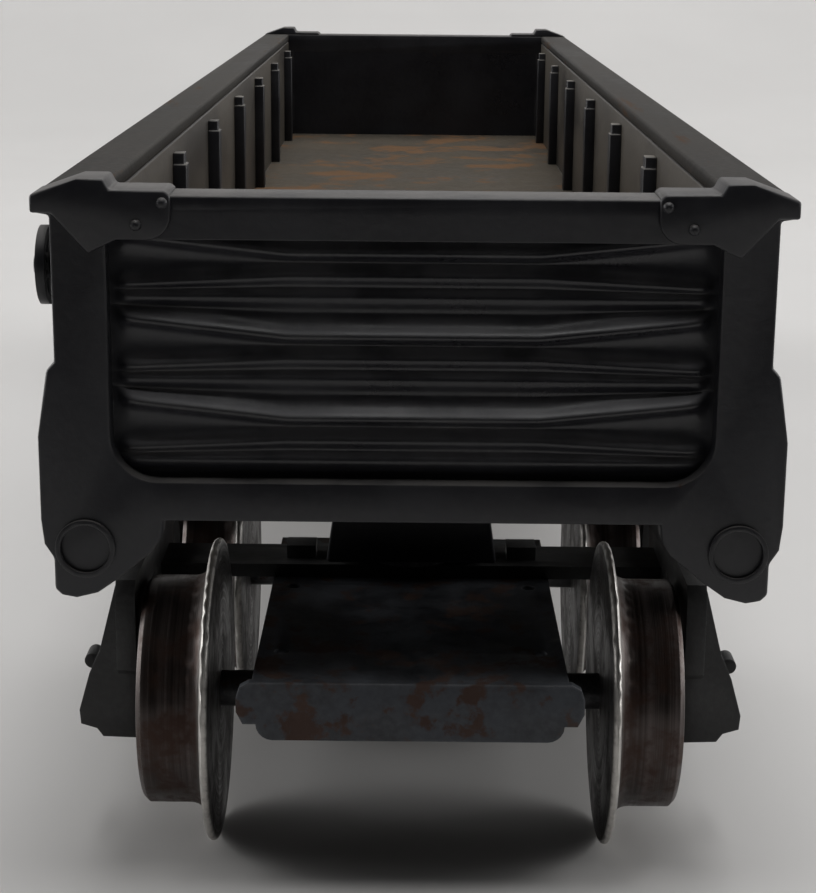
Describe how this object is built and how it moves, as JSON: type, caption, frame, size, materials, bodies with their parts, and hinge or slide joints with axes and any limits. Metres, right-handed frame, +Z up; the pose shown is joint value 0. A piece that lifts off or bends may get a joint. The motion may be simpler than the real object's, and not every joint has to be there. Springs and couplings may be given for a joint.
{
  "type": "toy railway gondola wagon",
  "caption": "Open-topped toy railway gondola wagon with pressed ends, stake-post sides and swivelling trucks with flanged wheels.",
  "frame": {"origin": "on the surface that the wheel flanges stand on, below the middle of the wagon", "axes": "+Z up, Y along the wagon with the front end at -Y, +X to the right of the wagon seen from its front end"},
  "size_m": [0.0574, 0.2376, 0.0565],
  "materials": {
    "black_paint": "satin blue-black paint with worn edges",
    "worn_rail": "dusty black paint rubbed to grey-brown",
    "rusty_floor": "matt, tan rust over grey steel",
    "bare_steel": "dull bare steel",
    "blued_sheet": "blue-grey sheet steel with rust blotches",
    "truck_black": "matt black",
    "wheel_steel": "turned steel with brown rust and bright flange edges"
  },
  "bodies": {
    "wagon_body": {"floor_plate": "rusty_floor", "centre_sill": "black_paint", "cross_bearers": "black_paint", "body_bolster_front": "black_paint", "body_bolster_rear": "black_paint", "side_panel_left": "black_paint", "side_panel_right": "black_paint", "side_posts_left": "black_paint", "side_posts_right": "black_paint", "stake_posts_left": "worn_rail", "stake_posts_right": "worn_rail", "top_rail_left": "worn_rail", "top_rail_right": "worn_rail", "end_frame_front": "black_paint", "end_frame_rear": "black_paint", "end_panel_front": "black_paint", "end_panel_rear": "black_paint", "corner_cap_front_left": "black_paint", "corner_cap_front_right": "black_paint", "corner_cap_rear_left": "black_paint", "corner_cap_rear_right": "black_paint", "bracket_rings": "black_paint", "gusset_rivets": "black_paint", "kingpin_front": "bare_steel", "kingpin_rear": "bare_steel", "pivot_washer_front": "bare_steel", "pivot_washer_rear": "bare_steel", "brake_spindle_left": "bare_steel", "brake_spindle_right": "bare_steel"},
    "brake_wheel_left": {"brake_wheel_left": "black_paint"},
    "brake_wheel_right": {"brake_wheel_right": "black_paint"},
    "front_truck": {"truck_plate_front": "blued_sheet", "truck_bolster_front": "truck_black", "side_frame_front_left": "truck_black", "side_frame_front_right": "truck_black", "frame_rivets_front": "bare_steel"},
    "rear_truck": {"truck_plate_rear": "blued_sheet", "truck_bolster_rear": "truck_black", "side_frame_rear_left": "truck_black", "side_frame_rear_right": "truck_black", "frame_rivets_rear": "bare_steel"},
    "wheelset_1": {"axle_1": "bare_steel", "wheel_1_left": "wheel_steel", "wheel_1_right": "wheel_steel"},
    "wheelset_2": {"axle_2": "bare_steel", "wheel_2_left": "wheel_steel", "wheel_2_right": "wheel_steel"},
    "wheelset_3": {"axle_3": "bare_steel", "wheel_3_left": "wheel_steel", "wheel_3_right": "wheel_steel"},
    "wheelset_4": {"axle_4": "bare_steel", "wheel_4_left": "wheel_steel", "wheel_4_right": "wheel_steel"}
  },
  "joints": [
    {"name": "front_truck_swivel", "type": "hinge", "parent": "wagon_body", "child": "front_truck", "pos_m": [0, -0.0884, 0.0192], "axis": [0, 0, 1], "range_deg": [-18, 18]},
    {"name": "rear_truck_swivel", "type": "hinge", "parent": "wagon_body", "child": "rear_truck", "pos_m": [0, 0.0884, 0.0192], "axis": [0, 0, 1], "range_deg": [-18, 18]},
    {"name": "wheelset_1_spin", "type": "hinge", "parent": "front_truck", "child": "wheelset_1", "pos_m": [0, -0.1044, 0.0125], "axis": [1, 0, 0], "continuous": true},
    {"name": "wheelset_2_spin", "type": "hinge", "parent": "front_truck", "child": "wheelset_2", "pos_m": [0, -0.0724, 0.0125], "axis": [1, 0, 0], "continuous": true},
    {"name": "wheelset_3_spin", "type": "hinge", "parent": "rear_truck", "child": "wheelset_3", "pos_m": [0, 0.0724, 0.0125], "axis": [1, 0, 0], "continuous": true},
    {"name": "wheelset_4_spin", "type": "hinge", "parent": "rear_truck", "child": "wheelset_4", "pos_m": [0, 0.1044, 0.0125], "axis": [1, 0, 0], "continuous": true},
    {"name": "brake_wheel_left_spin", "type": "hinge", "parent": "wagon_body", "child": "brake_wheel_left", "pos_m": [-0.0278, -0.111, 0.0491], "axis": [1, 0, 0], "continuous": true},
    {"name": "brake_wheel_right_spin", "type": "hinge", "parent": "wagon_body", "child": "brake_wheel_right", "pos_m": [0.0278, 0.111, 0.0491], "axis": [1, 0, 0], "continuous": true}
  ]
}
